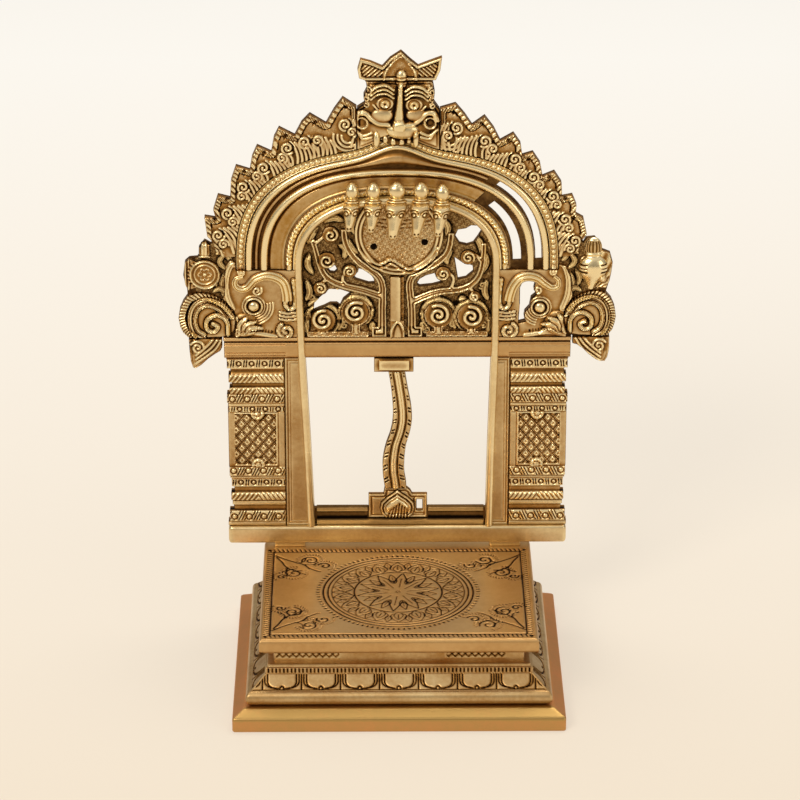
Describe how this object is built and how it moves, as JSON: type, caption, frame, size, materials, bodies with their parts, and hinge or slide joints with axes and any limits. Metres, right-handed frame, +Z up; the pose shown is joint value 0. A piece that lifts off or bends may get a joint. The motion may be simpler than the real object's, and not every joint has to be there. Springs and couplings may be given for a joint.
{
  "type": "deity throne",
  "caption": "Brass temple throne: stepped lotus pedestal with a lift-off pierced arch panel of pillars, water beasts, serpent hood and lion mask.",
  "frame": {"origin": "on the floor, under the middle of the pedestal's plinth", "axes": "+Z up, +Y towards the back where the arch panel stands, +X to the right of a viewer in front"},
  "size_m": [0.215, 0.132, 0.305],
  "materials": {
    "brass": "cast brass, hand chased, satin polish with dark patina in the recesses",
    "pale_brass": "burnished high points of the casting",
    "dark_brass": "as-cast brass, brown patina",
    "copper_brass": "reddish unpolished cast brass",
    "steel": "plain steel screws, oiled"
  },
  "bodies": {
    "pedestal": {"plinth": "copper_brass", "lotus_course": "brass", "dentil_course": "brass", "neck_course": "brass", "seat_slab": "pale_brass", "tie_screw_1": "steel", "tie_screw_2": "steel", "tie_screw_3": "steel", "tie_screw_4": "steel"},
    "arch_panel": {"sill_beam": "brass", "sill_step": "dark_brass", "step_bracket": "brass", "lotus_bud": "pale_brass", "serpent_tail": "pale_brass", "tail_cap": "brass", "lintel": "brass", "arch_rod": "pale_brass", "back_plate": "dark_brass", "rope_band": "brass", "inner_web": "brass", "middle_rib": "pale_brass", "upper_web": "brass", "outer_rib": "pale_brass", "bead_band": "brass", "serpent_hood": "brass", "hood_rivet_left": "dark_brass", "hood_rivet_right": "dark_brass", "serpent_head_1": "pale_brass", "serpent_head_2": "pale_brass", "serpent_head_3": "pale_brass", "serpent_head_4": "pale_brass", "serpent_head_5": "pale_brass", "centre_post": "brass", "lion_mask": "brass", "mask_crown": "pale_brass", "pillar_left": "brass", "jamb_left": "brass", "crest_left": "brass", "tree_left": "brass", "foot_scrolls_left": "brass", "makara_left": "brass", "makara_trunk_left": "pale_brass", "tail_volute_left": "brass", "pendant_left": "brass", "pillar_right": "brass", "jamb_right": "brass", "crest_right": "brass", "tree_right": "brass", "foot_scrolls_right": "brass", "makara_right": "brass", "makara_trunk_right": "pale_brass", "tail_volute_right": "brass", "pendant_right": "brass", "wheel": "pale_brass", "wheel_knob": "brass", "conch": "pale_brass"}
  },
  "joints": [
    {"name": "panel_lift", "type": "slide", "parent": "pedestal", "child": "arch_panel", "axis": [0, 0, 1], "range_m": [0, 0.006]}
  ]
}
